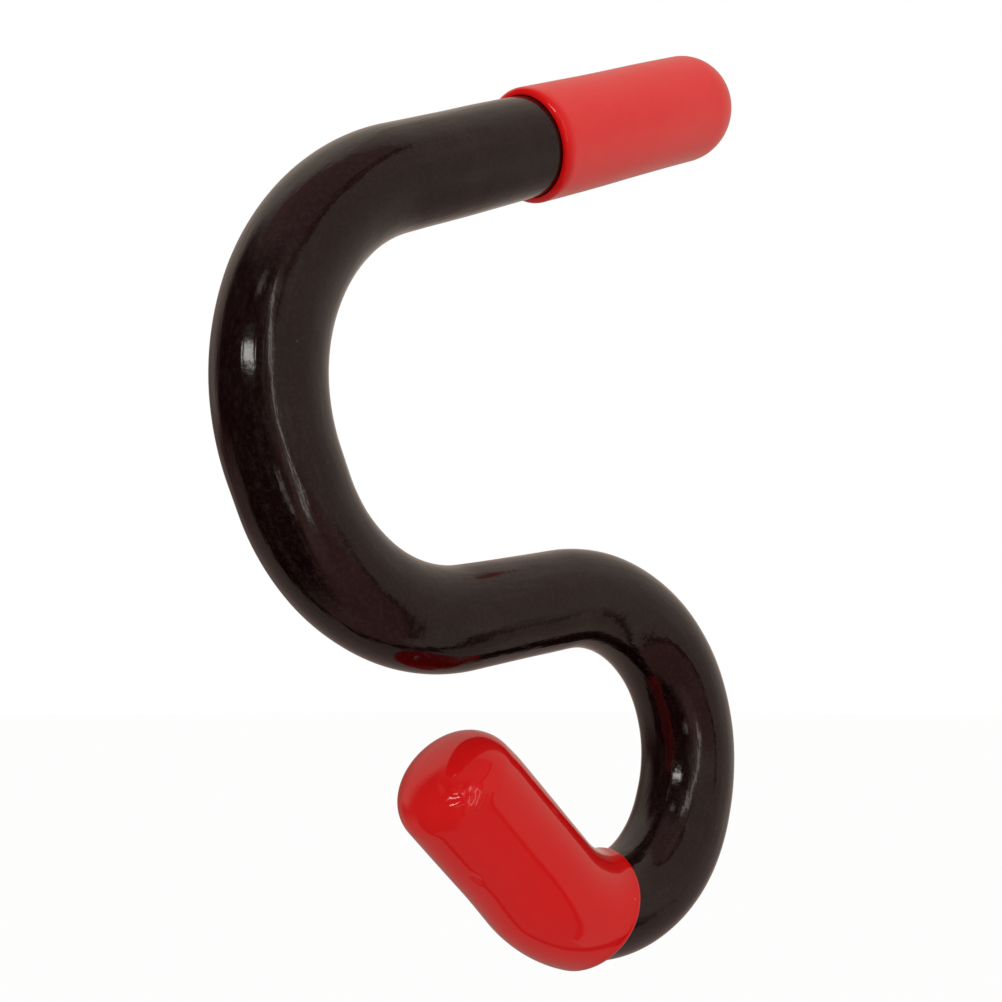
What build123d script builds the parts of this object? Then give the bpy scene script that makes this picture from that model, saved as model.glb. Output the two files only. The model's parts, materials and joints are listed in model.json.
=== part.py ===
from build123d import *
import math
import os
from collections import namedtuple

# A hook bar bent into an S: a solid steel bar in a black plastic sleeve, with a soft red
# cap over each end. The S stands upright in the XZ plane, +X is the side its upper hook
# opens to, Y is its thickness, and the origin is the centre of the upper hook's bend.

os.makedirs("parts", exist_ok=True)

# ---------------------------------------------------------------- driving dimensions
# Millimetres and degrees. Lengths and radii of the S are those of its centreline, and
# its runs follow one another from the upper end to the lower end.

# The steel bar and its sleeve
bar_diameter = 16.0
bar_end_reach = 3.0  # how far the bar stands out of the sleeve at both ends
bar_end_chamfer = 1.5
sleeve_wall = 2.0
sleeve_clearance = 0.02  # between the bar and the sleeve that is shrunk on it

# The upper hook, which opens to +X
upper_arm_rise = 23.3  # slope of the arm, rising towards its tip
upper_arm_length = 85.0  # from the sleeve's upper end to the hook's bend
upper_hook_radius = 42.0
upper_hook_turn = 90.0
back_length = 5.0
belly_radius = 34.0
belly_turn = 76.0

# The straight run that crosses the middle of the S
middle_length = 24.0

# The lower hook, which opens to -X
bow_radius = 32.0
bow_turn = 117.0
bow_length = 1.5
lower_hook_radius = 25.0
lower_hook_turn = 116.0
lower_arm_length = 26.5  # from the hook's bend to the sleeve's lower end

# The soft caps. A skirt's length runs along the centreline, from the sleeve's end to the
# cap's mouth.
cap_wall = 1.65
cap_clearance = 0.05  # between the sleeve and the inside of a cap
cap_lip_round = 0.6
upper_cap_skirt = 50.0
upper_cap_dome = 11.0
upper_cap_mouth_tilt = 0.0
lower_cap_skirt = 44.5
lower_cap_dome = 8.0
lower_cap_mouth_tilt = 21.0  # the mouth reaches further round the inside of the bend

# ---------------------------------------------------------------- sizes that follow

bar_radius = bar_diameter / 2
sleeve_bore_radius = bar_radius + sleeve_clearance
sleeve_radius = sleeve_bore_radius + sleeve_wall
cap_bore_radius = sleeve_radius + cap_clearance
cap_radius = cap_bore_radius + cap_wall

# ---------------------------------------------------------------- the centreline

Straight = namedtuple("Straight", "length")
Bend = namedtuple("Bend", "radius turn")  # a left turn is positive, seen from -Y

UPPER_TO_LOWER = [
    Straight(upper_arm_length),
    Bend(upper_hook_radius, upper_hook_turn),
    Straight(back_length),
    Bend(belly_radius, belly_turn),
    Straight(middle_length),
    Bend(bow_radius, -bow_turn),
    Straight(bow_length),
    Bend(lower_hook_radius, -lower_hook_turn),
    Straight(lower_arm_length),
]


def station(point, heading):
    """The plane across the bar at a point, facing along the bar, with +x to its left."""
    angle = math.radians(heading)
    along = Vector(math.cos(angle), 0, math.sin(angle))
    left = Vector(-math.sin(angle), 0, math.cos(angle))
    return Plane(origin=point, x_dir=left, z_dir=along)


def heading_of(plane):
    """The direction a station faces, in degrees from +X towards +Z."""
    return math.degrees(math.atan2(plane.z_dir.Z, plane.z_dir.X))


def bend_centre(start, bend):
    """The centre of the bend that starts at a station."""
    return start.origin + start.x_dir * math.copysign(bend.radius, bend.turn)


def run_end(start, run):
    """The station at the far end of a run."""
    if isinstance(run, Straight):
        return station(start.origin + start.z_dir * run.length, heading_of(start))
    centre = bend_centre(start, run)
    turned = station(centre, heading_of(start) + run.turn)
    side = math.copysign(run.radius, run.turn)
    return station(centre - turned.x_dir * side, heading_of(turned))


def line_end(start, runs):
    """The station at the far end of a row of runs."""
    for run in runs:
        start = run_end(start, run)
    return start


def first_stretch(runs, length):
    """The runs that cover the first stretch of a line, its last run cut to fit."""
    kept = []
    for run in runs:
        straight = isinstance(run, Straight)
        run_length = run.length if straight else math.radians(abs(run.turn)) * run.radius
        share = min(1.0, length / run_length)
        kept.append(Straight(run.length * share) if straight else Bend(run.radius, run.turn * share))
        length -= run_length * share
        if length <= 0:
            break
    return kept


def reversed_line(runs):
    """The same runs, walked the other way."""
    return [run if isinstance(run, Straight) else Bend(run.radius, -run.turn) for run in reversed(runs)]


def find_upper_end():
    """The station at the sleeve's upper end, which puts the upper hook's centre at the origin."""
    heading = upper_arm_rise + 180
    hook_start = station((0, 0, 0), heading)
    tangent = hook_start.x_dir * -upper_hook_radius
    return station(tangent - hook_start.z_dir * upper_arm_length, heading)


def turned_back(plane):
    """The same station, facing the other way."""
    return station(plane.origin, heading_of(plane) + 180)


UPPER_END = find_upper_end()
LOWER_END = turned_back(line_end(UPPER_END, UPPER_TO_LOWER))
LOWER_TO_UPPER = reversed_line(UPPER_TO_LOWER)

# ---------------------------------------------------------------- shapes along the line


def rod(radius, start, runs):
    """A solid round rod along a row of runs."""
    pieces = []
    for run in runs:
        section = start * Circle(radius)
        if isinstance(run, Straight):
            pieces.append(extrude(section, run.length))
        else:
            upright = Axis(bend_centre(start, run), (0, -math.copysign(1, run.turn), 0))
            pieces.append(revolve(section, upright, abs(run.turn)))
        start = run_end(start, run)
    return pieces[0].fuse(*pieces[1:]) if len(pieces) > 1 else pieces[0]


def dome(base, radius, height):
    """Half an ellipsoid of revolution that stands on a station's back, away from the rod."""
    outline = Plane(origin=base.origin, x_dir=base.x_dir, z_dir=(0, -1, 0))
    quarter = make_face(
        [
            Line((0, 0), (radius, 0)),
            EllipticalCenterArc((0, 0), radius, height, start_angle=0, arc_size=90),
            Line((0, height), (0, 0)),
        ]
    )
    return revolve(outline * quarter, Axis(base.origin, base.z_dir), 360)


# ---------------------------------------------------------------- the pieces


def make_bar_core():
    """The bent steel bar, chamfered at both ends."""
    start = UPPER_END.offset(-bar_end_reach)
    first = Straight(upper_arm_length + bar_end_reach)
    last = Straight(lower_arm_length + bar_end_reach)
    bar = rod(bar_radius, start, [first, *UPPER_TO_LOWER[1:-1], last])
    ends = [start.origin, LOWER_END.offset(-bar_end_reach).origin]
    rims = [bar.edges().filter_by(GeomType.CIRCLE).sort_by_distance(end)[0] for end in ends]
    return chamfer(rims, bar_end_chamfer)


def make_black_sleeve():
    """The plastic sleeve over the whole bar, cut square at both ends."""
    outside = rod(sleeve_radius, UPPER_END, UPPER_TO_LOWER)
    return outside - rod(sleeve_bore_radius, UPPER_END, UPPER_TO_LOWER)


def make_end_cap(end, runs, skirt, dome_height, mouth_tilt):
    """A closed soft cap over one end of the sleeve, domed at its tip.

    The runs lead away from the tip. A tilted mouth reaches further along on their left.
    """
    middle_of_mouth = line_end(end, first_stretch(runs, skirt))
    mouth = station(middle_of_mouth.origin, heading_of(middle_of_mouth) - mouth_tilt)
    overrun = cap_radius * math.tan(math.radians(abs(mouth_tilt))) + cap_wall
    covered = first_stretch(runs, skirt + overrun)
    outside = rod(cap_radius, end, covered) + dome(end, cap_radius, dome_height)
    inside = rod(cap_bore_radius, end, covered) + dome(end, cap_bore_radius, dome_height - cap_wall)
    outside = split(outside, bisect_by=mouth, keep=Keep.BOTTOM)
    outer_rim = outside.faces().sort_by_distance(mouth.origin)[0].edges()
    return fillet(outer_rim, cap_lip_round) - inside


def make_upper_end_cap():
    """The cap over the upper arm, whose skirt is straight."""
    return make_end_cap(UPPER_END, UPPER_TO_LOWER, upper_cap_skirt, upper_cap_dome, upper_cap_mouth_tilt)


def make_lower_end_cap():
    """The cap over the lower arm, which is stretched round the start of the bend."""
    return make_end_cap(LOWER_END, LOWER_TO_UPPER, lower_cap_skirt, lower_cap_dome, lower_cap_mouth_tilt)


for name, shape in {
    "bar_core": make_bar_core(),
    "black_sleeve": make_black_sleeve(),
    "upper_end_cap": make_upper_end_cap(),
    "lower_end_cap": make_lower_end_cap(),
}.items():
    export_step(shape, f"parts/{name}.step")
    print(name, "volume", round(shape.volume), "mm3")
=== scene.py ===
import json
import math

import bmesh
import bpy
from bpy.props import FloatProperty, FloatVectorProperty, IntProperty, PointerProperty
from bpy.types import Operator, Panel, PropertyGroup
from mathutils import Matrix, Vector, noise
from mathutils.geometry import intersect_point_line


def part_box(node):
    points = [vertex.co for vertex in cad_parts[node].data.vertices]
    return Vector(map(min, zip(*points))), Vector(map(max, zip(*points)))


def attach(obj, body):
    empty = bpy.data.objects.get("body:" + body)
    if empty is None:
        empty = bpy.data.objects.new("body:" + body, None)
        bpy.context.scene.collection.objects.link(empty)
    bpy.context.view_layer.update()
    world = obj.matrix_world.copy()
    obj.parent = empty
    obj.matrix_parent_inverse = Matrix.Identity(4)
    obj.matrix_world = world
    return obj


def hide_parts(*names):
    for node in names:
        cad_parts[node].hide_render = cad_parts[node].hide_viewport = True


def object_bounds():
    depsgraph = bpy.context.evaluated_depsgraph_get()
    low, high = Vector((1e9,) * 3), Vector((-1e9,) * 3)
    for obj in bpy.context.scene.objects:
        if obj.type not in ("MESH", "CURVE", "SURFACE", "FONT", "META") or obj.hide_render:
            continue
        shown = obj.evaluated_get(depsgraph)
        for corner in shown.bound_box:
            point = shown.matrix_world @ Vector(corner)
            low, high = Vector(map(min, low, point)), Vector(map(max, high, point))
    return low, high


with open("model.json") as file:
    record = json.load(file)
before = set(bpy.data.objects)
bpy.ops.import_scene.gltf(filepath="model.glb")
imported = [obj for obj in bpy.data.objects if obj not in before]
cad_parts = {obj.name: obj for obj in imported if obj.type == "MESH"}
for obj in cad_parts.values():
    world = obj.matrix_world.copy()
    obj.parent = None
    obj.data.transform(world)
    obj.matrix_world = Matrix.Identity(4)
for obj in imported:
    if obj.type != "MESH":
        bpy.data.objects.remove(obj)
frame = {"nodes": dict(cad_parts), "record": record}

bl_info = {
    "name": "S-bent hook bar",
    "version": (1, 0, 0),
    "blender": (4, 5, 0),
    "location": "View3D > Sidebar > Hook bar",
    "description": "Models the coverings of an S-bent hook bar and the studio it hangs in",
    "category": "Object",
}

CAD_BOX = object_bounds()
MM = 0.001

SLEEVE_CLEARANCE = 0.02 * MM  # between the bar and the sleeve
SLEEVE_EDGE = 0.25 * MM  # rounding of the sleeve's cut ends
SLEEVE_STEP = 1.2 * MM  # longest edge along the sleeve
CAP_EDGE = 0.1 * MM  # break of a mouth's inner edge
CAP_INSIDE_STEP = 2.0 * MM  # longest edge along a cap's inside
CAP_OUTSIDE_STEP = 0.5 * MM  # longest edge along a cap's outside
MERGE = 0.001 * MM  # vertices nearer than this are one


def mount(name):
    """One of the frame's mounts."""
    return next(entry for entry in frame["record"]["mounts"] if entry["name"] == name)


def half_depth(node):
    """Half of a frame node's thickness through the flat of the S."""
    low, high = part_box(node)
    return (high.y - low.y) / 2


def hook_radius(name):
    """Centreline radius of a hook, from the mount inside it."""
    return mount(name)["dims"]["r_mm"] * MM + SLEEVE_RADIUS


SLEEVE_RADIUS = half_depth("black_sleeve")
BAR_RADIUS = half_depth("bar_core")
CAP_RADIUS = half_depth("upper_end_cap")
ARM = Vector(mount("upper_cap_outside")["axis"])


# ------------------------------------------------------------------ sizes and colours


def length(name, description, default):
    """A length property in metres."""
    return FloatProperty(
        name=name, description=description, default=default, min=0.0, unit="LENGTH", precision=5
    )


def angle(name, description, default):
    """An angle property, its default given in degrees."""
    return FloatProperty(
        name=name, description=description, default=math.radians(default), unit="ROTATION"
    )


def colour(name, description, default):
    """A colour property."""
    return FloatVectorProperty(
        name=name,
        description=description,
        default=default,
        size=3,
        min=0.0,
        max=1.0,
        subtype="COLOR",
    )


def amount(name, description, default):
    """A plain number."""
    return FloatProperty(name=name, description=description, default=default, min=0.0)


class HookBarLine(PropertyGroup):
    """The bar's centreline, run by run from the upper end to the lower end."""

    arm_rise: angle("Arm rise", "Slope of the upper arm", math.degrees(math.atan2(ARM.z, ARM.x)))
    upper_arm: length("Upper arm", "Straight from the sleeve's end to the wide hook", 85 * MM)
    upper_radius: length("Upper hook radius", "Centreline radius", hook_radius("upper_hook"))
    upper_turn: angle("Upper hook turn", "How far the wide hook turns", 90)
    back: length("Back", "Short straight behind the wide hook", 5 * MM)
    belly_radius: length("Belly radius", "Centreline radius under the wide hook", 34 * MM)
    belly_turn: angle("Belly turn", "How far the belly turns", 76)
    middle: length("Middle", "Straight across the middle of the S", 24 * MM)
    bow_radius: length("Bow radius", "Centreline radius", hook_radius("lower_hook"))
    bow_turn: angle("Bow turn", "How far the bow turns back", 117)
    bow: length("Bow", "Short straight in the bow", 1.5 * MM)
    lower_radius: length("Lower hook radius", "Centreline radius of the tight hook", 25 * MM)
    lower_turn: angle("Lower hook turn", "How far the tight hook turns", 116)
    lower_arm: length("Lower arm", "Straight from the tight hook to the sleeve's end", 26.5 * MM)


class HookBarCovers(PropertyGroup):
    """The sleeve and the two caps."""

    cap_wall: length("Cap wall", "Thickness of the soft caps", 1.65 * MM)
    lip_round: length("Lip round", "Rounding of a cap's mouth", 1.15 * MM)
    upper_skirt: length("Upper skirt", "Upper cap, from its dome's foot to the mouth", 50 * MM)
    upper_dome: length("Upper dome", "Height of the upper cap's dome", 11.3 * MM)
    lower_skirt: length("Lower skirt", "Lower cap, from its dome's foot to the mouth", 44.5 * MM)
    lower_dome: length("Lower dome", "Height of the lower cap's dome", 8.2 * MM)
    lower_tilt: angle("Lower mouth tilt", "The mouth reaches further inside the bend", 21)
    sleeve_waves: length("Sleeve waves", "Height of the sleeve's long waves", 0.12 * MM)
    sleeve_lines: length("Sleeve lines", "Height of the drawn lines along the sleeve", 0.022 * MM)
    sleeve_draw: length("Sleeve draw", "How much thinner the sleeve is round the bow", 0.25 * MM)
    cap_waves: length("Cap waves", "Height of the caps' long waves", 0.14 * MM)
    upper_slim: length("Upper slim", "How much slimmer the upper cap is", 0.30 * MM)
    lower_bulge: length("Lower bulge", "How far the lower cap bunches in the bend", 0.55 * MM)
    around: IntProperty(name="Around", description="Faces round a covering", default=96, min=12)


class HookBarColours(PropertyGroup):
    """Colours of the finishes."""

    sleeve: colour("Sleeve", "Brown-black plastic", (0.0080, 0.0018, 0.0023))
    sleeve_bloom: colour("Sleeve bloom", "Faint bloom on the plastic", (0.0300, 0.0215, 0.0185))
    sleeve_marks: colour("Sleeve marks", "Scratches and specks of dust", (0.060, 0.052, 0.048))
    # The caps are one red vinyl: the upper cap's red is the lit copy, the lower cap's darker red is
    # painted shade.
    upper_cap: colour("Upper cap", "Red soft vinyl", (0.74, 0.0040, 0.0048))
    lower_cap: colour("Lower cap", "Red soft vinyl", (0.62, 0.0035, 0.0042))
    # Painted sheen: a pale colour mixed into the caps' red in place of the soft light's haze on the
    # vinyl.
    cap_painted_sheen: colour("Cap bloom", "Pale bloom on the dulled vinyl", (0.99, 0.17, 0.155))
    cap_nicks: colour("Cap nicks", "Pale nicks in the vinyl", (0.80, 0.16, 0.15))
    steel: colour("Steel", "Bare bar ends", (0.42, 0.42, 0.43))


class HookBarStudio(PropertyGroup):
    """The camera, the tent of light and the floor."""

    lens: FloatProperty(
        name="Lens", description="Focal length in millimetres", default=49.3, min=1.0
    )
    camera_place: FloatVectorProperty(
        name="Camera",
        description="Where the camera stands",
        default=(-0.15957, -0.19832, -0.04713),
        unit="LENGTH",
    )
    camera_azimuth: angle("Azimuth", "Direction the camera looks, from +Y towards +X", 40.4)
    camera_elevation: angle("Elevation", "How far the camera looks up", 6.16)
    tent: colour("Tent", "What the gloss reflects of the tent's cloth", (0.50, 0.385, 0.335))
    roof: colour("Roof", "The tent's dim roof in front of the bar", (0.38, 0.21, 0.21))
    roof_seam: colour("Roof seam", "The dark edge of the roof", (0.16, 0.07, 0.07))
    rear: colour("Rear", "The low cloth behind the bar", (0.37, 0.265, 0.235))
    rear_seam: colour("Rear seam", "The dark fold under the bar", (0.03, 0.01, 0.01))
    glow: colour("Glow", "The tent's overall light", (0.76, 0.735, 0.715))
    backdrop: colour("Backdrop", "What the camera sees behind the bar", (1.0, 1.0, 1.0))
    front_glow: amount("Front glow", "How much stronger the light is from the front", 0.41)
    top_glow: amount("Top glow", "How much stronger the light is from above", 0.34)
    floor_drop: length("Floor drop", "From the bar's lowest point down to the floor", 0.22)


# ------------------------------------------------------------------ the bar's centreline


class Centreline:
    """The line down the middle of the bar, in the XZ plane, which every covering is bent to."""

    def __init__(self, sizes):
        self.runs = []
        heading = sizes.arm_rise + math.pi
        start = left_of(heading) * -sizes.upper_radius - towards(heading) * sizes.upper_arm
        along = 0.0
        for run_length, turn in (
            (sizes.upper_arm, 0.0),
            (sizes.upper_radius * sizes.upper_turn, sizes.upper_turn),
            (sizes.back, 0.0),
            (sizes.belly_radius * sizes.belly_turn, sizes.belly_turn),
            (sizes.middle, 0.0),
            (sizes.bow_radius * sizes.bow_turn, -sizes.bow_turn),
            (sizes.bow, 0.0),
            (sizes.lower_radius * sizes.lower_turn, -sizes.lower_turn),
            (sizes.lower_arm, 0.0),
        ):
            self.runs.append((along, start, heading, turn / run_length))
            start = self.on_run(self.runs[-1], along + run_length)
            heading += turn
            along += run_length
        self.length = along

    def on_run(self, run, along):
        """The centreline's point at a distance along it that lies on a run."""
        begin, start, heading, curvature = run
        if curvature == 0.0:
            return start + towards(heading) * (along - begin)
        turned = heading + curvature * (along - begin)
        return start + (left_of(heading) - left_of(turned)) / curvature

    def place(self, along, left, front):
        """Where a point beside the centreline lies, left and front of it as seen along it."""
        run = next((entry for entry in reversed(self.runs) if along >= entry[0]), self.runs[0])
        heading = run[2] + run[3] * (along - run[0])
        return self.on_run(run, along) + left_of(heading) * left + Vector((0.0, -front, 0.0))


def towards(heading):
    """The direction of a heading in the XZ plane."""
    return Vector((math.cos(heading), 0.0, math.sin(heading)))


def left_of(heading):
    """The direction to the left of a heading, seen from the front."""
    return Vector((-math.sin(heading), 0.0, math.cos(heading)))


# ------------------------------------------------------------------ modelling


def outline(bm, points):
    """A row of vertices joined by edges in the XZ plane, for spinning."""
    verts = [bm.verts.new((radius, 0.0, z)) for radius, z in points]
    return [bm.edges.new(pair) for pair in zip(verts, verts[1:])]


def cut_long_edges(bm, edges, longest):
    """Divides straight edges so that none is longer than the given length."""
    for edge in edges:
        cuts = math.ceil(edge.calc_length() / longest) - 1
        if cuts > 0:
            bmesh.ops.subdivide_edges(bm, edges=[edge], cuts=cuts)


def spin_round(bm, steps):
    """Spins everything once round Z and closes the seam and the poles."""
    bmesh.ops.spin(
        bm,
        geom=bm.verts[:] + bm.edges[:],
        cent=(0.0, 0.0, 0.0),
        axis=(0.0, 0.0, 1.0),
        angle=math.tau,
        steps=steps,
        use_merge=True,
    )
    bmesh.ops.remove_doubles(bm, verts=bm.verts, dist=MERGE)


def keep_straight_places(bm):
    """Stores where each vertex lies before bending, so that a finish can follow the bar."""
    layer = bm.verts.layers.float_vector.new("straight")
    for vert in bm.verts:
        vert[layer] = vert.co


def make_piece(name, bm, node, material, body):
    """Turns a finished bmesh into a shown piece that stands for a frame node."""
    bmesh.ops.recalc_face_normals(bm, faces=bm.faces)
    for face in bm.faces:
        face.smooth = True
    mesh = bpy.data.meshes.new(name)
    bm.to_mesh(mesh)
    bm.free()
    mesh.materials.append(material)
    piece = bpy.data.objects.new(name, mesh)
    bpy.context.collection.objects.link(piece)
    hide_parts(node)
    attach(piece, body)
    return piece


def ramp(value, low, high):
    """A smooth step from 0 at low to 1 at high."""
    share = min(1.0, max(0.0, (value - low) / (high - low)))
    return share * share * (3.0 - 2.0 * share)


def push_out(vert, distance):
    """Moves a vertex away from the Z axis."""
    outward = Vector((vert.co.x, vert.co.y, 0.0))
    if outward.length > 0.0:
        vert.co += outward.normalized() * distance


def dome_arc(radius, height, steps, power=2.0):
    """Points of a dome's section from its foot to its crown, which lies at -height on the axis."""
    points = []
    for step in range(steps + 1):
        turn = math.pi / 2 * step / steps
        reach = radius * math.cos(turn) ** (2.0 / power) if step < steps else 0.0
        points.append((reach, -height * math.sin(turn) ** (2.0 / power)))
    return points


# ------------------------------------------------------------------ shader nodes


class Socket:
    """A node's output that takes part in Python arithmetic, adding a Math node for each step."""

    def __init__(self, finish, output):
        self.finish = finish
        self.output = output

    def __add__(self, other):
        return self.finish.math("ADD", self, other)

    def __radd__(self, other):
        return self.finish.math("ADD", other, self)

    def __sub__(self, other):
        return self.finish.math("SUBTRACT", self, other)

    def __rsub__(self, other):
        return self.finish.math("SUBTRACT", other, self)

    def __mul__(self, other):
        return self.finish.math("MULTIPLY", self, other)

    def __rmul__(self, other):
        return self.finish.math("MULTIPLY", other, self)


class Finish:
    """A node tree that is written as Python."""

    def __init__(self, tree):
        self.tree = tree
        tree.nodes.clear()

    def node(self, kind, settings=None, inputs=None, output=0):
        """Adds a node: its settings first, then the values or links of its sockets."""
        node = self.tree.nodes.new(kind)
        for name, value in (settings or {}).items():
            setattr(node, name, value)
        for key, value in (inputs or {}).items():
            if isinstance(value, Socket):
                self.tree.links.new(value.output, node.inputs[key])
            else:
                node.inputs[key].default_value = value
        return Socket(self, node.outputs[output]) if node.outputs else None

    def math(self, operation, *values):
        """A Math node on one or two numbers."""
        return self.node("ShaderNodeMath", {"operation": operation}, dict(enumerate(values)))

    def mix(self, factor, first, second):
        """Mixes two colours."""
        sockets = {"Factor": factor, 6: first, 7: second}
        return self.node("ShaderNodeMix", {"data_type": "RGBA"}, sockets, output=2)

    def dot(self, vector, axis):
        """How far a vector reaches along a fixed axis."""
        sockets = {0: vector, 1: axis}
        return self.node("ShaderNodeVectorMath", {"operation": "DOT_PRODUCT"}, sockets, output=1)

    def stretch(self, vector, scale):
        """A vector scaled differently along each axis."""
        sockets = {0: vector, 1: scale}
        return self.node("ShaderNodeVectorMath", {"operation": "MULTIPLY"}, sockets)

    def noise(self, vector, scale, detail=2.0, roughness=0.5):
        """Smooth noise from 0 to 1."""
        sockets = {"Vector": vector, "Scale": scale, "Detail": detail, "Roughness": roughness}
        return self.node("ShaderNodeTexNoise", None, sockets)

    def between(self, value, low, high):
        """0 below low, 1 above high and smooth between them."""
        settings = {"interpolation_type": "SMOOTHSTEP"}
        sockets = {"Value": value, "From Min": low, "From Max": high}
        return self.node("ShaderNodeMapRange", settings, sockets)

    def bump(self, height, distance):
        """A bump whose height of 1 is the given distance in metres."""
        return self.node("ShaderNodeBump", None, {"Height": height, "Distance": distance})


def new_finish(name):
    """A new material and the finish that fills its nodes."""
    material = bpy.data.materials.new(name)
    material.use_nodes = True
    return material, Finish(material.node_tree)


def opaque(values):
    """A colour property as a colour with alpha."""
    return (*values, 1.0)


def straight_places(finish):
    """Where a point lay before its covering was bent: across in x and y, along the bar in z."""
    return finish.node("ShaderNodeAttribute", {"attribute_name": "straight"}, output=1)


def dots(finish, places, scale, size, patches, rarity):
    """Small round marks, kept only inside the patches of a slow noise."""
    sockets = {"Vector": places, "Scale": scale}
    cells = finish.node("ShaderNodeTexVoronoi", {"feature": "F1"}, sockets)
    inside = 1.0 - finish.between(cells, size, 2.0 * size)
    return inside * finish.between(finish.noise(places, patches), rarity, rarity + 0.04)


def streaks(finish, places, across, along, detail=2.0, roughness=0.5):
    """Noise drawn out along a covering, from how often it changes in a metre across and along."""
    drawn = finish.stretch(places, (across, across, along))
    return finish.noise(drawn, 1.0, detail, roughness)


def sleeve_plastic():
    """Glossy brown-black soft plastic with a mottled bloom, drawn lines, scratches and dust."""
    colours = bpy.context.scene.hook_bar_colours
    material, finish = new_finish("sleeve_plastic")
    straight = straight_places(finish)

    mottle = finish.between(finish.noise(straight, 210.0, 5.0, 0.65), 0.36, 0.66)
    wisps = finish.between(streaks(finish, straight, 420.0, 58.0, 5.0, 0.62), 0.52, 0.68)
    clouds = finish.between(finish.noise(straight, 48.0, 3.0), 0.38, 0.64)
    grain = finish.between(finish.noise(straight, 1300.0, 3.0, 0.7), 0.46, 0.64)
    bloom = mottle * clouds * 0.18 + wisps * 0.22 + grain * 0.26
    worn = finish.mix(bloom, opaque(colours.sleeve), opaque(colours.sleeve_bloom))

    scratches = finish.between(streaks(finish, straight, 800.0, 110.0, 2.0, 0.4), 0.74, 0.79)
    scratches = scratches * finish.between(finish.noise(straight, 55.0, 2.0), 0.50, 0.62)
    specks = dots(finish, straight, 260.0, 0.035, 70.0, 0.57)
    marks = scratches * 0.20 + specks * 0.6

    dents = finish.noise(straight, 150.0, 1.0)
    drawn_lines = streaks(finish, straight, 560.0, 90.0)
    fine_lines = streaks(finish, straight, 1500.0, 210.0, 3.0)
    peel = finish.noise(straight, 700.0, 2.0)
    relief = dents * 0.00009 + drawn_lines * 0.00007 + fine_lines * 0.000020 + peel * 0.000026
    height = relief + specks * 0.00002 - scratches * 0.00001
    surface = finish.node(
        "ShaderNodeBsdfPrincipled",
        None,
        {
            "Base Color": finish.mix(marks, worn, opaque(colours.sleeve_marks)),
            "Roughness": 0.085 + clouds * 0.05 + scratches * 0.15 + specks * 0.3,
            "IOR": 1.5,
            "Normal": finish.bump(height, 1.0),
        },
    )
    finish.node("ShaderNodeOutputMaterial", None, {"Surface": surface})
    return material


def cap_vinyl(name, base, roughness, bloom, mouth):
    """Soft red vinyl under a pale painted sheen, stronger towards the underside as painted light
    from below, kept off the lip.
    """
    colours = bpy.context.scene.hook_bar_colours
    material, finish = new_finish(name)
    straight = straight_places(finish)

    clouds = finish.between(finish.noise(straight, 60.0, 3.0), 0.34, 0.68)
    grain = finish.between(finish.noise(straight, 420.0, 4.0, 0.6), 0.34, 0.68)
    along = finish.dot(straight, (0.0, 0.0, 1.0))
    lip = finish.between(along, mouth - 3.2 * MM, mouth - 1.2 * MM)
    # Painted light from below: the sheen grows towards the cap's underside.
    lit_from_below = finish.between(finish.dot(straight, (1.0, 0.0, 0.0)), 0.0, 10 * MM)
    # Amount of painted sheen: random clouds and grain, plus painted light on the underside.
    dulled = 0.76 + clouds * 0.18 + grain * 0.14 + lit_from_below * 0.90
    # Painted sheen: the bloom argument sets how much pale colour is mixed into the red, none on the
    # lip.
    red = finish.mix(dulled * bloom * (1.0 - lip), opaque(base), opaque(colours.cap_painted_sheen))

    nicks = dots(finish, straight, 190.0, 0.03, 80.0, 0.61)
    waves = finish.noise(straight, 150.0, 2.0)
    surface = finish.node(
        "ShaderNodeBsdfPrincipled",
        None,
        {
            "Base Color": finish.mix(nicks * 0.35, red, opaque(colours.cap_nicks)),
            "Roughness": roughness * (1.0 - lip * 0.5) + clouds * 0.03 + nicks * 0.2,
            "IOR": 1.5,
            "Normal": finish.bump(waves * 0.000020 + nicks * 0.00001, 1.0),
        },
    )
    finish.node("ShaderNodeOutputMaterial", None, {"Surface": surface})
    return material


def bare_steel():
    """Drawn steel bar with fine lengthwise lines and a little oil."""
    colours = bpy.context.scene.hook_bar_colours
    material, finish = new_finish("bare_steel")
    place = finish.node("ShaderNodeTexCoord", output=3)
    lines = finish.noise(finish.stretch(place, (300.0, 2600.0, 300.0)), 1.0, 3.0)
    oil = finish.between(finish.noise(place, 120.0, 3.0), 0.40, 0.70)
    base = opaque(colours.steel)
    dull = opaque([0.55 * channel for channel in colours.steel])
    surface = finish.node(
        "ShaderNodeBsdfPrincipled",
        None,
        {
            "Base Color": finish.mix(oil, base, dull),
            "Metallic": 1.0,
            "Roughness": 0.28 + lines * 0.16 + oil * 0.10,
            "Normal": finish.bump(lines, 0.00002),
        },
    )
    finish.node("ShaderNodeOutputMaterial", None, {"Surface": surface})
    return material


# ------------------------------------------------------------------ the pieces

# Small ridges and nicks of the lower cap before it is bent: where each begins and ends, as degrees
# round the cap and up its dome from the foot, then how far it stands out or, below zero, goes in,
# and its width, both in millimetres.
WRINKLES = (
    ((48.0, 22.0), (62.0, 19.0), 0.30, 0.60),
    ((57.0, 10.0), (69.0, 18.0), 0.26, 0.50),
    ((67.0, 9.0), (81.0, 14.0), 0.32, 0.60),
    ((59.0, 30.0), (65.0, 26.0), 0.20, 0.45),
    ((54.0, 42.0), (53.0, 39.0), -0.30, 0.80),
    ((22.5, -43.0), (24.5, -45.0), -0.22, 0.60),
)
NEARBY = 0.8  # cosine of the widest angle at which a wrinkle moves a vertex
DOME_STEPS = 28  # along a dome's section, half as many inside
LIP_STEPS = 6  # round a mouth's lip
BOW_BEGINS = (185 * MM, 215 * MM)  # where along the bar the sleeve grows thinner
BOW_ENDS = (280 * MM, 305 * MM)  # and where it is full again


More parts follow.
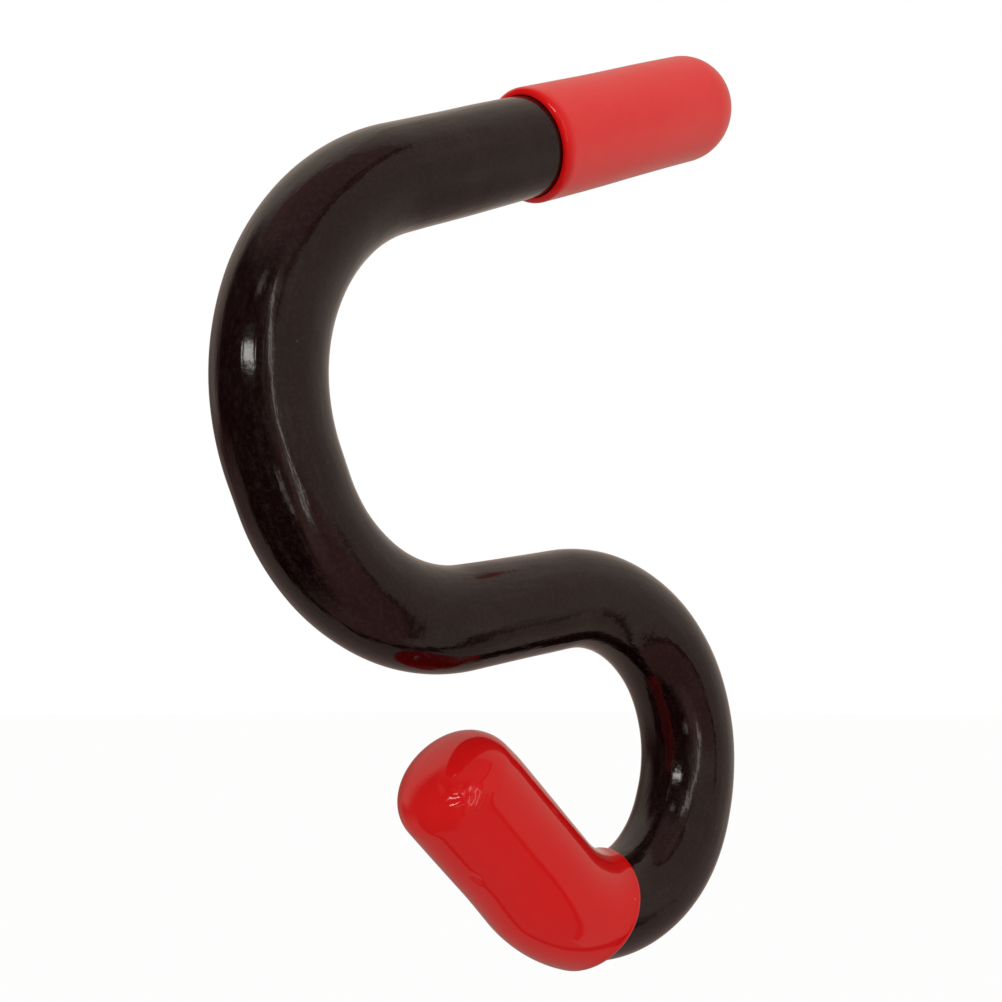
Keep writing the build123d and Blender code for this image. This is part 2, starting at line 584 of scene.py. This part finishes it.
def spun_sleeve(covers, bar_length):
    """The sleeve before it is bent: a tube along Z with slightly rounded cut ends."""
    bore = BAR_RADIUS + SLEEVE_CLEARANCE
    bm = bmesh.new()
    section = outline(
        bm,
        [
            (bore, 0.0),
            (SLEEVE_RADIUS - SLEEVE_EDGE, 0.0),
            (SLEEVE_RADIUS, SLEEVE_EDGE),
            (SLEEVE_RADIUS, bar_length - SLEEVE_EDGE),
            (SLEEVE_RADIUS - SLEEVE_EDGE, bar_length),
            (bore, bar_length),
            (bore, 0.0),
        ],
    )
    cut_long_edges(bm, section, SLEEVE_STEP)
    spin_round(bm, covers.around)
    return bm


def wave_at(place, across, along, shift=(0.0, 0.0, 0.0)):
    """Smooth noise from -1 to 1, from how often it changes in a metre across and along a piece."""
    stretched = Vector((place.x * across, place.y * across, place.z * along))
    return noise.noise(stretched + Vector(shift))


def wave_sleeve(bm, covers, bar_length):
    """Gives the bare stretch of the sleeve shallow waves and draws it thinner round the bow."""
    for vert in bm.verts:
        if vert.co.xy.length < SLEEVE_RADIUS - 2 * SLEEVE_EDGE:
            continue
        z = vert.co.z
        below_lower_cap = bar_length - z
        bare = ramp(z, covers.upper_skirt, covers.upper_skirt + 12 * MM)
        bare *= ramp(below_lower_cap, covers.lower_skirt + 6 * MM, covers.lower_skirt + 16 * MM)
        long_wave = wave_at(vert.co, 60, 42)
        short_wave = wave_at(vert.co, 150, 120, (0.0, 0.0, 7.0))
        drawn_lines = wave_at(vert.co, 420, 60)
        waves = covers.sleeve_waves * (long_wave + 0.35 * short_wave)
        waves += covers.sleeve_lines * drawn_lines
        drawn = ramp(z, *BOW_BEGINS) * (1.0 - ramp(z, *BOW_ENDS))
        push_out(vert, bare * waves - drawn * covers.sleeve_draw)


class HOOKBAR_OT_sleeve(Operator):
    """Models the glossy sleeve and bends it to the bar"""

    bl_idname = "hook_bar.sleeve"
    bl_label = "Sleeve"

    def execute(self, context):
        covers = context.scene.hook_bar_covers
        line = Centreline(context.scene.hook_bar_line)
        bm = spun_sleeve(covers, line.length)
        keep_straight_places(bm)
        wave_sleeve(bm, covers, line.length)
        for vert in bm.verts:
            vert.co = line.place(vert.co.z, vert.co.x, vert.co.y)
        piece = make_piece("sleeve", bm, "black_sleeve", sleeve_plastic(), "hook")
        return {"FINISHED"}


def spun_cap(covers, radius, skirt, dome_height, dome_power):
    """A cap before it is bent: a closed cup along Z, its dome below zero and its mouth above."""
    wall = covers.cap_wall
    bore = CAP_RADIUS - wall
    lip = covers.lip_round
    crown = dome_arc(radius, dome_height, DOME_STEPS, dome_power)
    inner_crown = dome_arc(bore, dome_height - wall, DOME_STEPS // 2, dome_power)
    turns = [math.pi / 2 * step / LIP_STEPS for step in range(LIP_STEPS + 1)]
    mouth = [
        (radius - lip * (1 - math.sin(turn)), skirt - lip * (1 - math.cos(turn))) for turn in turns
    ]
    bore_end = (bore, skirt - CAP_EDGE)
    bm = bmesh.new()
    inside = outline(bm, [*reversed(inner_crown), bore_end])
    outside = outline(bm, [bore_end, (bore + CAP_EDGE, skirt), *mouth, *crown])
    cut_long_edges(bm, inside, CAP_INSIDE_STEP)
    cut_long_edges(bm, outside, CAP_OUTSIDE_STEP)
    spin_round(bm, 2 * covers.around)
    return bm


def in_bore(vert, covers):
    """Whether a vertex lies nearer to a cap's bore than to its outside."""
    return vert.co.xy.length < CAP_RADIUS - 0.5 * covers.cap_wall


def wave_cap(bm, covers, seed):
    """Gives a cap's outside long, shallow waves."""
    for vert in bm.verts:
        if in_bore(vert, covers) and vert.co.z > 0.0:
            continue
        push_out(vert, covers.cap_waves * wave_at(vert.co, 70, 50, (seed, 0.0, 0.0)))


def from_foot(around, up):
    """The direction of a place on a cap from the middle of its dome's foot. Both in degrees."""
    around, up = math.radians(around), math.radians(up)
    reach = math.cos(up)
    return Vector((math.cos(around) * reach, math.sin(around) * reach, -math.sin(up)))


def wrinkle_cap(bm, covers):
    """Raises the small ridges and presses in the nicks of the lower cap."""
    for begin, end, rise, width in WRINKLES:
        first, last = from_foot(*begin), from_foot(*end)
        for vert in bm.verts:
            far = vert.co.length
            aim = vert.co / far
            if aim.dot(first) < NEARBY or (vert.co.z > 0.0 and in_bore(vert, covers)):
                continue
            share = intersect_point_line(aim, first, last)[1]
            nearest = first.lerp(last, min(1.0, max(0.0, share)))
            off = (aim - nearest).length * far / (width * MM)
            vert.co += aim * rise * MM * math.exp(-off * off)


def bunch_cap(bm, covers):
    """Swells the lower cap inside the bend and near its mouth outside the bend."""
    mouth = covers.lower_skirt
    for vert in bm.verts:
        if in_bore(vert, covers):
            continue
        z = vert.co.z
        inside = max(0.0, -vert.co.x / CAP_RADIUS)
        outside = max(0.0, vert.co.x / CAP_RADIUS)
        bunched = ramp(z, -4 * MM, 5 * MM) * (1.0 - ramp(z, mouth - 19 * MM, mouth - 9 * MM))
        pulled = ramp(z, mouth - 12 * MM, mouth - 4 * MM)
        sagging = ramp(z, mouth - 28 * MM, mouth - 14 * MM)
        swell = inside * (bunched - 0.9 * pulled) + 0.6 * outside * sagging
        push_out(vert, covers.lower_bulge * swell)


class HOOKBAR_OT_upper_cap(Operator):
    """Models the cap over the upper arm"""

    bl_idname = "hook_bar.upper_cap"
    bl_label = "Upper cap"

    def execute(self, context):
        covers = context.scene.hook_bar_covers
        line = Centreline(context.scene.hook_bar_line)
        radius = CAP_RADIUS - covers.upper_slim
        bm = spun_cap(covers, radius, covers.upper_skirt, covers.upper_dome, 2.0)
        keep_straight_places(bm)
        wave_cap(bm, covers, 3.0)
        for vert in bm.verts:
            vert.co = line.place(vert.co.z, vert.co.x, vert.co.y)
        base = context.scene.hook_bar_colours.upper_cap
        # Lit copy of the red with a strong painted sheen.
        vinyl = cap_vinyl("cap_vinyl_upper_lit", base, 0.30, 0.19, covers.upper_skirt)
        piece = make_piece("upper_cap", bm, "upper_end_cap", vinyl, "upper_cap")
        return {"FINISHED"}


class HOOKBAR_OT_lower_cap(Operator):
    """Models the cap that is stretched round the bend of the lower arm"""

    bl_idname = "hook_bar.lower_cap"
    bl_label = "Lower cap"

    def execute(self, context):
        covers = context.scene.hook_bar_covers
        line = Centreline(context.scene.hook_bar_line)
        bm = spun_cap(covers, CAP_RADIUS, covers.lower_skirt, covers.lower_dome, 2.2)
        keep_straight_places(bm)
        wave_cap(bm, covers, 11.0)
        bunch_cap(bm, covers)
        wrinkle_cap(bm, covers)
        slope = math.tan(covers.lower_tilt)
        for vert in bm.verts:
            reach = ramp(vert.co.z, covers.lower_skirt - 28 * MM, covers.lower_skirt)
            along = vert.co.z - vert.co.x * slope * reach
            vert.co = line.place(line.length - along, vert.co.x, vert.co.y)
        base = context.scene.hook_bar_colours.lower_cap
        # Darker copy of the red as painted shade, with only a faint painted sheen.
        vinyl = cap_vinyl("cap_vinyl_lower_shaded", base, 0.05, 0.03, covers.lower_skirt)
        piece = make_piece("lower_cap", bm, "lower_end_cap", vinyl, "hook")
        return {"FINISHED"}


class HOOKBAR_OT_bar(Operator):
    """Gives the steel bar its finish"""

    bl_idname = "hook_bar.bar"
    bl_label = "Steel bar"

    def execute(self, context):
        mesh = frame["nodes"]["bar_core"].data
        mesh.materials.clear()
        mesh.materials.append(bare_steel())
        return {"FINISHED"}


# ------------------------------------------------------------------ the stage


SENSOR_WIDTH = 36.0  # millimetres
CLIP_START = 0.01  # metres
ROOF_LEAN = 0.35  # how much the roof's edge drops towards the front
ROOF_EDGE = 0.86  # the height of the roof's edge, as the sine of its elevation
REAR_EDGE = 0.03  # how far to the front the low cloth behind the bar ends
FLOOR_RADIUS = 6.0  # metres
FLOOR_PAPER = 0.12  # how much light the floor scatters
FLOOR_SHINE = 0.88  # how much it glows by itself

# The tent's panels, each laid over those before it: its middle, size, turn and softness in
# degrees from the studio's front, then its colour.
TENT_PANELS = (
    ((145.0, 25.0), (90.0, 120.0), 0.0, 50.0, (0.60, 0.50, 0.43)),
    ((-155.0, 60.0), (110.0, 60.0), 0.0, 40.0, (0.72, 0.63, 0.53)),
    ((-150.0, -8.0), (36.0, 42.0), 0.0, 24.0, (0.20, 0.145, 0.12)),
    ((-135.0, -55.0), (90.0, 60.0), 0.0, 30.0, (0.36, 0.25, 0.20)),
    ((0.0, -77.0), (190.0, 28.0), 0.0, 5.0, (0.37, 0.18, 0.165)),
    ((10.0, -44.0), (110.0, 84.0), 0.0, 12.0, (0.37, 0.175, 0.16)),
    ((18.0, -20.0), (24.0, 32.0), 0.0, 14.0, (0.50, 0.25, 0.235)),
    ((65.0, -28.0), (62.0, 4.5), 90.0, 3.5, (0.10, 0.03, 0.03)),
    ((-53.0, -7.0), (110.0, 114.0), 0.0, 22.0, (0.022, 0.001, 0.004)),
    ((-111.0, -29.0), (42.0, 50.0), 0.0, 12.0, (0.10, 0.03, 0.03)),
    ((22.0, 32.0), (18.0, 5.0), 70.0, 4.0, (0.16, 0.07, 0.08)),
    ((-4.0, 31.0), (20.0, 9.0), 0.0, 8.0, (0.22, 0.13, 0.12)),
    ((-26.0, 40.0), (14.0, 5.0), 0.0, 5.0, (1.3, 1.15, 1.1)),
    ((-30.0, 18.0), (21.0, 6.5), 0.0, 5.0, (9.4, 9.2, 8.7)),
    ((14.0, 12.0), (60.0, 12.0), -66.0, 9.0, (0.66, 0.52, 0.49)),
    ((15.0, 12.0), (54.0, 3.5), -66.0, 3.0, (3.3, 3.0, 2.9)),
    ((-4.0, -18.0), (7.0, 5.0), 0.0, 4.0, (1.6, 1.4, 1.35)),
)


def add_camera(studio):
    """The camera, level from side to side."""
    data = bpy.data.cameras.new("camera")
    data.lens = studio.lens
    data.sensor_width = SENSOR_WIDTH
    data.clip_start = CLIP_START
    camera = bpy.data.objects.new("camera", data)
    turn = Matrix.Rotation(-studio.camera_azimuth, 4, "Z")
    lift = Matrix.Rotation(math.pi / 2 + studio.camera_elevation, 4, "X")
    camera.matrix_world = Matrix.Translation(studio.camera_place) @ turn @ lift
    bpy.context.collection.objects.link(camera)
    bpy.context.scene.camera = camera


def panel(finish, place, middle, size, turn, soft):
    """How much of a soft-edged panel of the tent lies in a direction. All in degrees."""
    azimuth, elevation = place
    across = azimuth - middle[0]
    above = elevation - middle[1]
    tilt = math.radians(turn)
    lengthwise = across * math.cos(tilt) + above * math.sin(tilt)
    crosswise = above * math.cos(tilt) - across * math.sin(tilt)
    inside = [
        finish.between(finish.math("ABSOLUTE", distance), (reach + soft) / 2, (reach - soft) / 2)
        for distance, reach in ((lengthwise, size[0]), (crosswise, size[1]))
    ]
    return inside[0] * inside[1]


def seam(finish, distance, wide, narrow):
    """A seam in the cloth: 1 where the distance is under narrow and 0 where it is over wide."""
    return finish.between(finish.math("ABSOLUTE", distance), wide, narrow)


def studio_axes(studio):
    """The studio's directions to the right, upward and to the front, as the camera stands."""
    turn, lift = studio.camera_azimuth, studio.camera_elevation
    rightward = Vector((math.cos(turn), -math.sin(turn), 0.0))
    forward = Vector((math.sin(turn), math.cos(turn), 0.0)) * math.cos(lift)
    forward += Vector((0.0, 0.0, math.sin(lift)))
    return rightward, rightward.cross(forward), -forward


def tent_cloth(finish, studio, side, rise, front):
    """What the gloss reflects in each direction: the roof, the panels, then the cloth below."""
    azimuth = finish.math("ARCTAN2", side, front) * math.degrees(1.0)
    elevation = finish.math("ARCSINE", rise) * math.degrees(1.0)
    roof = rise + front * ROOF_LEAN
    before = finish.between(front, 0.0, 0.06)
    below = finish.between(rise, -0.10, -0.55)
    roof_seam = seam(finish, roof - ROOF_EDGE, 0.040, 0.015) * before
    roof_seam = roof_seam * finish.between(side, 0.2, 0.4)
    rear_seam = seam(finish, front - REAR_EDGE, 0.060, 0.030) * below

    under_roof = finish.between(roof, ROOF_EDGE - 0.02, ROOF_EDGE + 0.02) * before
    cloth = finish.mix(under_roof, opaque(studio.tent), opaque(studio.roof))
    cloth = finish.mix(roof_seam, cloth, opaque(studio.roof_seam))
    for middle, size, turn, soft, shade in TENT_PANELS:
        inside = panel(finish, (azimuth, elevation), middle, size, turn, soft)
        cloth = finish.mix(inside, cloth, opaque(shade))
    cloth = finish.mix((1.0 - before) * below, cloth, opaque(studio.rear))
    return finish.mix(rear_seam, cloth, opaque(studio.rear_seam))


def light_world(studio):
    """A tent with a dark opening for the gloss, an even light for the rest, a plain backdrop."""
    world = bpy.data.worlds.new("tent")
    world.use_nodes = True
    bpy.context.scene.world = world
    finish = Finish(world.node_tree)
    direction = finish.node("ShaderNodeTexCoord")
    side, rise, front = (finish.dot(direction, axis) for axis in studio_axes(studio))
    strength = 1.0 + front * studio.front_glow + rise * studio.top_glow
    shades = {
        "even": {"Color": opaque(studio.glow), "Strength": strength},
        "tent": {"Color": tent_cloth(finish, studio, side, rise, front), "Strength": 1.0},
        "backdrop": {"Color": opaque(studio.backdrop), "Strength": 1.0},
    }
    lights = {name: finish.node("ShaderNodeBackground", None, shades[name]) for name in shades}
    gloss = finish.node("ShaderNodeLightPath", output="Is Glossy Ray")
    seen = finish.node("ShaderNodeLightPath", output="Is Camera Ray")
    lit = finish.node("ShaderNodeMixShader", None, {0: gloss, 1: lights["even"], 2: lights["tent"]})
    shown = finish.node("ShaderNodeMixShader", None, {0: seen, 1: lit, 2: lights["backdrop"]})
    finish.node("ShaderNodeOutputWorld", None, {"Surface": shown})


def add_floor(studio):
    """A pale floor well below the hanging bar, which the gloss and the even light pass through."""
    low, high = CAD_BOX
    bm = bmesh.new()
    bmesh.ops.create_circle(bm, cap_ends=True, segments=64, radius=FLOOR_RADIUS)
    middle = (low + high) / 2
    place = (middle.x, middle.y, low.z - studio.floor_drop)
    bmesh.ops.translate(bm, verts=bm.verts, vec=place)
    mesh = bpy.data.meshes.new("floor")
    bm.to_mesh(mesh)
    bm.free()
    floor = bpy.data.objects.new("floor", mesh)
    floor.visible_glossy = False
    floor.visible_diffuse = False
    bpy.context.collection.objects.link(floor)
    material, finish = new_finish("floor_paper")
    paper = finish.node("ShaderNodeBsdfDiffuse", None, {"Color": opaque([FLOOR_PAPER] * 3)})
    shine = {"Color": opaque(studio.backdrop), "Strength": FLOOR_SHINE}
    glow = finish.node("ShaderNodeEmission", None, shine)
    both = finish.node("ShaderNodeAddShader", None, {0: paper, 1: glow})
    finish.node("ShaderNodeOutputMaterial", None, {"Surface": both})
    mesh.materials.append(material)


class HOOKBAR_OT_studio(Operator):
    """Sets up the camera, the tent of light and the floor"""

    bl_idname = "hook_bar.studio"
    bl_label = "Studio"

    def execute(self, context):
        studio = context.scene.hook_bar_studio
        context.scene.view_settings.view_transform = "Standard"
        add_camera(studio)
        light_world(studio)
        add_floor(studio)
        return {"FINISHED"}


# ------------------------------------------------------------------ the add-on


class HOOKBAR_PT_panel(Panel):
    """Lists the steps that build the hook bar's looks"""

    bl_label = "Hook bar"
    bl_idname = "HOOKBAR_PT_panel"
    bl_space_type = "VIEW_3D"
    bl_region_type = "UI"
    bl_category = "Hook bar"

    def draw(self, context):
        for group in GROUPS:
            for key in group.bl_rna.properties.keys():
                if key not in ("rna_type", "name"):
                    self.layout.prop(getattr(context.scene, GROUPS[group]), key)
        for step in STEPS:
            self.layout.operator(step.bl_idname)


GROUPS = {
    HookBarLine: "hook_bar_line",
    HookBarCovers: "hook_bar_covers",
    HookBarColours: "hook_bar_colours",
    HookBarStudio: "hook_bar_studio",
}
STEPS = (
    HOOKBAR_OT_studio,
    HOOKBAR_OT_bar,
    HOOKBAR_OT_sleeve,
    HOOKBAR_OT_upper_cap,
    HOOKBAR_OT_lower_cap,
)


def register():
    """Registers the classes and hangs the property groups on the scene."""
    for group, name in GROUPS.items():
        bpy.utils.register_class(group)
        setattr(bpy.types.Scene, name, PointerProperty(type=group))
    for entry in (*STEPS, HOOKBAR_PT_panel):
        bpy.utils.register_class(entry)


def unregister():
    """Takes the classes and the property groups away again."""
    for entry in (HOOKBAR_PT_panel, *reversed(STEPS)):
        bpy.utils.unregister_class(entry)
    for group, name in GROUPS.items():
        delattr(bpy.types.Scene, name)
        bpy.utils.unregister_class(group)


def main():
    """Builds everything in order."""
    register()
    bpy.ops.hook_bar.studio()
    bpy.ops.hook_bar.bar()
    bpy.ops.hook_bar.sleeve()
    bpy.ops.hook_bar.upper_cap()
    bpy.ops.hook_bar.lower_cap()


if __name__ == "__main__":
    main()
